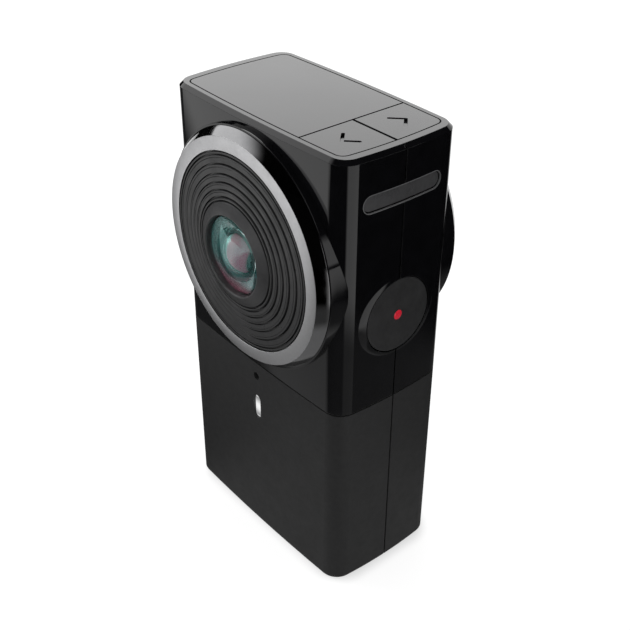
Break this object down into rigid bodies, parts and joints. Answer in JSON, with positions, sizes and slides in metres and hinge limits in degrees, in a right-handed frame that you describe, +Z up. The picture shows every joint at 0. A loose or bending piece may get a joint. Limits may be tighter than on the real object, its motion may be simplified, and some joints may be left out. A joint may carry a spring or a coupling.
{
  "type": "360 degree camera",
  "caption": "Hand-held two-lens 360 degree camera: tall rounded casing, ribbed lens wells front and rear, side shutter button and battery door.",
  "frame": {"origin": "mouth of the tripod socket, in the middle of the flat bottom", "axes": "+Z up along the tall casing, -Y the front face with the status light, +X the side with the shutter button"},
  "size_m": [0.055, 0.0442, 0.104],
  "materials": {
    "gloss_black": "high gloss moulded black",
    "matt_black": "fine matt black",
    "shroud_black": "satin black with fine turned ribs",
    "satin_metal": "satin silver",
    "clear_glass": "coated optical glass",
    "barrel_metal": "black anodised",
    "plate_grey": "smoked glossy plate",
    "button_grey": "smoked glossy plate",
    "shutter_black": "satin black",
    "red_mark": "glossy red",
    "smoked_light": "smoked translucent",
    "white_light": "translucent white",
    "chassis_metal": "bare sheet",
    "screw_steel": "plated steel",
    "pad_rubber": "soft",
    "flex_film": "amber film",
    "display_dark": "dark display",
    "board_green": "solder mask",
    "switch_black": "moulded",
    "socket_steel": "folded sheet",
    "chip_dark": "sensor cover",
    "card_black": "moulded",
    "battery_wrap": "printed film, left plain",
    "contact_gold": "gold plated",
    "lock_dark": "moulded with grip ribs",
    "bush_brass": "nickel plated"
  },
  "bodies": {
    "camera": {"battery": "battery_wrap", "battery_contacts": "contact_gold", "battery_tray": "switch_black", "body_screws": "screw_steel", "button_switches": "switch_black", "buzzer": "switch_black", "card_slot": "socket_steel", "chassis_plate": "chassis_metal", "display_flex": "flex_film", "display_module": "display_dark", "door_hinge_pin": "screw_steel", "front_dome_glass": "clear_glass", "front_glass_spacer": "barrel_metal", "front_image_sensor": "chip_dark", "front_inner_glasses": "clear_glass", "front_lens_barrel": "barrel_metal", "front_lens_flange": "gloss_black", "front_ribbed_shroud": "shroud_black", "front_sensor_board": "board_green", "front_trim_ring": "satin_metal", "lens_screws": "screw_steel", "lower_front_shell": "matt_black", "lower_rear_shell": "matt_black", "main_board": "board_green", "memory_card": "card_black", "microphone": "socket_steel", "microphone_boot": "pad_rubber", "processor_shield": "socket_steel", "rear_dome_glass": "clear_glass", "rear_glass_spacer": "barrel_metal", "rear_image_sensor": "chip_dark", "rear_inner_glasses": "clear_glass", "rear_lens_barrel": "barrel_metal", "rear_lens_flange": "gloss_black", "rear_ribbed_shroud": "shroud_black", "rear_sensor_board": "board_green", "rear_trim_ring": "satin_metal", "sensor_flexes": "flex_film", "shutter_board": "board_green", "side_light_bar": "smoked_light", "side_light_board": "board_green", "status_light": "white_light", "thermal_pads": "pad_rubber", "top_switch_board": "board_green", "top_window": "plate_grey", "tripod_bush": "bush_brass", "upper_front_shell": "gloss_black", "upper_rear_shell": "gloss_black", "usb_socket": "socket_steel", "video_socket": "socket_steel"},
    "shutter_button": {"shutter_cap": "shutter_black", "shutter_red_insert": "red_mark"},
    "up_button_body": {"up_button": "button_grey"},
    "down_button_body": {"down_button": "button_grey"},
    "battery_door": {"door_panel": "matt_black", "door_pad": "pad_rubber"},
    "door_lock": {"door_lock_thumb": "lock_dark", "door_lock_bolt": "lock_dark"}
  },
  "joints": [
    {"name": "shutter_press", "type": "slide", "parent": "camera", "child": "shutter_button", "axis": [-1, 0, 0], "range_m": [0, 0.0005], "stiffness_N_per_m": 600, "springref_m": -0.001},
    {"name": "up_press", "type": "slide", "parent": "camera", "child": "up_button_body", "axis": [0, 0, -1], "range_m": [0, 0.0004], "stiffness_N_per_m": 500, "springref_m": -0.001},
    {"name": "down_press", "type": "slide", "parent": "camera", "child": "down_button_body", "axis": [0, 0, -1], "range_m": [0, 0.0004], "stiffness_N_per_m": 500, "springref_m": -0.001},
    {"name": "door_hinge", "type": "hinge", "parent": "camera", "child": "battery_door", "pos_m": [-0.02565, 0.0092, 0.02615], "axis": [0, 0, -1], "range_deg": [0, 90]},
    {"name": "lock_slide", "type": "slide", "parent": "battery_door", "child": "door_lock", "axis": [0, -1, 0], "range_m": [0, 0.002]}
  ]
}
